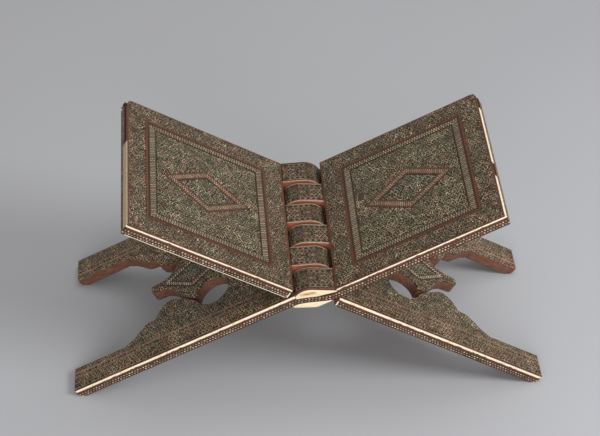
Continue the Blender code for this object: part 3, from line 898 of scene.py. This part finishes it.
def end_lens(side, looks):
    """The bone lens on the front of the end knuckle, and the dark fillet over it."""
    right, y0, y1 = HEEL - GLUE, -HALF_WIDTH - 0.05, -HALF_WIDTH + EDGE_STRIP
    top = crown_line(SKIN, right, LENS_START, 20)[:-1] + [(LENS_START, LEG_PALE[1])]
    seam = crown_line(SKIN + LENS_FILLET, right, LENS_START, 20)[:-1]
    seam.append((LENS_START, LEG_PALE[1] - 0.2))
    fillet, lens = bmesh.new(), bmesh.new()
    loft(fillet, [[(x, y0 + 0.1, z), (x, y1, z), (u, y1, w), (u, y0 + 0.1, w)]
                  for (x, z), (u, w) in zip(top, seam)])
    sections = []
    for x, z in seam:
        low = edge_levels(x)[1] + GLUE + LENS_LIFT * max(0, x / HEEL)
        z = max(z - 0.08, low + 0.25)
        sections.append([(x, y0, z), (x, y1, z), (x, y1, low), (x, y0, low)])
    loft(lens, sections)
    soften(fillet, 0.06)
    soften(lens, 0.14)
    place(side, "lens_fillet", fillet, looks["red"], "wood")
    place(side, "lens_upper_shown", lens, looks["lens"], "stringing", ("lens_upper",))


def make_plug(side, looks):
    """An oval plug mended into the right leaf."""
    work = bmesh.new()
    top = -FACE_GAP + 0.06
    rings = []
    for grow, z in ((1.0, top - 0.5), (1.0, top - 0.05), (0.96, top)):
        ring = arc((0, 0), 1.0, 0, 2 * math.pi, 28)[:-1]
        rings.append([(PLUG_CENTRE[0] + PLUG_HALVES[0] * grow * x,
                       PLUG_CENTRE[1] + PLUG_HALVES[1] * grow * y, z) for x, y in ring])
    loft(work, rings)
    bmesh.ops.recalc_face_normals(work, faces=work.faces)
    place(side, "plug", work, looks["plug"], "wood")


def make_core(side, looks):
    work = from_cad(side, "core", 0.25)
    turned_corner(work, 1 if side == "right" else -1, WORN_CORNER)
    place(side, "core_shown", work, looks["wood"], "wood", ("core",))


def make_looks():
    """Every material, by a short name."""
    rosy = ((0.49, 0.36, 0.24), (0.070, 0.030, 0.015))
    grey = ((0.46, 0.37, 0.26), (0.040, 0.022, 0.011))
    heel = HEEL + 1.9
    border_lines = (("x", 0, heel, DULL_RED), ("x", LEAF_REACH - 2.2, LEAF_REACH + 2, DULL_RED),
                    ("y", 78.9, 82, DULL_RED))
    return {
        "field": field_material("mosaic_field", 2.8, "field"),
        "border": field_material("mosaic_border", 2.9, "border", True, border_lines),
        "net": field_material("mosaic_net", 2.7, "net", False),
        "pendant_net": field_material("mosaic_pendant", 2.7, "net", False),
        "underside": field_material("mosaic_underside", 2.9, "field"),
        "arch": field_material("mosaic_arch", 2.9, "leg", False),
        "leg_band": leg_band_material(),
        "knuckle": knuckle_material(),
        # The frame's dark stripe along its inner edge, from 9.1, is a dark fillet deepened into
        # painted shadow of the raised band.
        "frame": band_material("banding_frame", [(-1, 0.3, UMBER), (0.3, 1.9, RED_LINE),
                                                 (1.9, 3.5, UMBER), (9.1, 12, UMBER)],
                               (3.5, 8.9), *grey, 2.2, 0.2),
        # The diamond's ebony stripe along its inner edge, from 7.3, is a dark fillet that also
        # serves as painted shadow of the raised band.
        "diamond": band_material("banding_diamond", [(-1, 0.3, EBONY), (0.3, 1.6, RED_LINE),
                                                     (6.1, 7.3, RED_LINE), (7.3, 9, EBONY)],
                                 (1.6, 6.1), *rosy, 1.9, 0.2),
        # The pendant's pale strokes are brightened far above the diamond's as painted light, making
        # up for the shade it sits in under the leaf.
        "pendant": band_material("banding_pendant_painted_light", [(-1, 0.3, EBONY), (0.3, 0.9, RED_LINE),
                                                     (4.4, 5.0, RED_LINE), (5.0, 7, EBONY)],
                                 (0.9, 4.4), (0.86, 0.70, 0.52), rosy[1], 2.3, 0.2),
        "edge": edge_material(),
        "bone": bone_material("bone_stringing"),
        "old_bone": bone_material("bone_dull", 0.55),
        # painted shade: the left leaf's end bone, dulled to tan where it stands in shade
        "painted_shade_bone": bone_material("bone_painted_shade", 0.8, (0.40, 0.27, 0.12)),
        "lens": lens_material(),
        "wood": wood_material(),
        "plug": plug_material(),
        "red": red_material(),
    }


# ---------------------------------------------------------------- stage
def make_stage():
    """Pale floor, soft studio lights and an even surround."""
    bpy.ops.mesh.primitive_plane_add(size=6.0, location=(0, 0, 0))
    floor = bpy.context.object
    floor.name = "studio_floor"
    g = Graph("studio_floor")
    speck = g.noise(g.node("ShaderNodeTexCoord").outputs["Object"], 3.0)
    g.finish(g.mix(speck, (0.375, 0.380, 0.400), (0.395, 0.400, 0.420)), 0.85)
    floor.data.materials.append(g.material)

    def area(name, place_at, aim, size, power):
        lamp = bpy.data.lights.new(name, "AREA")
        lamp.shape = "DISK"
        lamp.size = size
        lamp.energy = power
        stand = bpy.data.objects.new(name, lamp)
        stand.location = place_at
        stand.rotation_euler = (Vector(aim) - Vector(place_at)).to_track_quat("-Z", "Y").to_euler()
        bpy.context.scene.collection.objects.link(stand)

    area("key", (0.95, -0.55, 1.05), (0, 0, 0.08), 0.7, 14)
    area("front", (-0.25, -1.35, 0.55), (0, 0, 0.08), 0.9, 10)
    area("top", (0.2, 0.5, 1.4), (0, 0, 0.05), 1.2, 5)

    world = bpy.data.worlds.new("studio")
    world.use_nodes = True
    background = world.node_tree.nodes["Background"]
    background.inputs["Color"].default_value = (1.0, 0.985, 0.965, 1)
    background.inputs["Strength"].default_value = 0.47
    bpy.context.scene.world = world
    bpy.context.scene.view_settings.view_transform = "Standard"


def make_camera():
    azimuth, elevation, roll = math.radians(-5.38), math.radians(39.5), math.radians(2.05)
    distance, aim = 1.534, AXIS + Vector((-0.0058, 0, 0.0150))
    back = Vector((math.sin(azimuth) * math.cos(elevation),
                   -math.cos(azimuth) * math.cos(elevation),
                   math.sin(elevation)))
    lens = bpy.data.cameras.new("camera")
    lens.sensor_width = 36
    lens.lens = 113.9
    camera = bpy.data.objects.new("camera", lens)
    camera.matrix_world = (Matrix.Translation(aim + back * distance)
                           @ back.to_track_quat("Z", "Y").to_matrix().to_4x4()
                           @ Matrix.Rotation(roll, 4, "Z"))
    bpy.context.scene.collection.objects.link(camera)
    bpy.context.scene.camera = camera


# ---------------------------------------------------------------- build
make_camera()
make_stage()
looks = make_looks()
for number, side in enumerate(("right", "left")):
    make_core(side, looks)
    make_leaf(side, looks, 11 + number)
    make_leg(side, looks, 23 + number)
    edge_lines(side, looks)
    make_knuckles(side, looks)
    heel_bars(side, looks)
make_plug("right", looks)
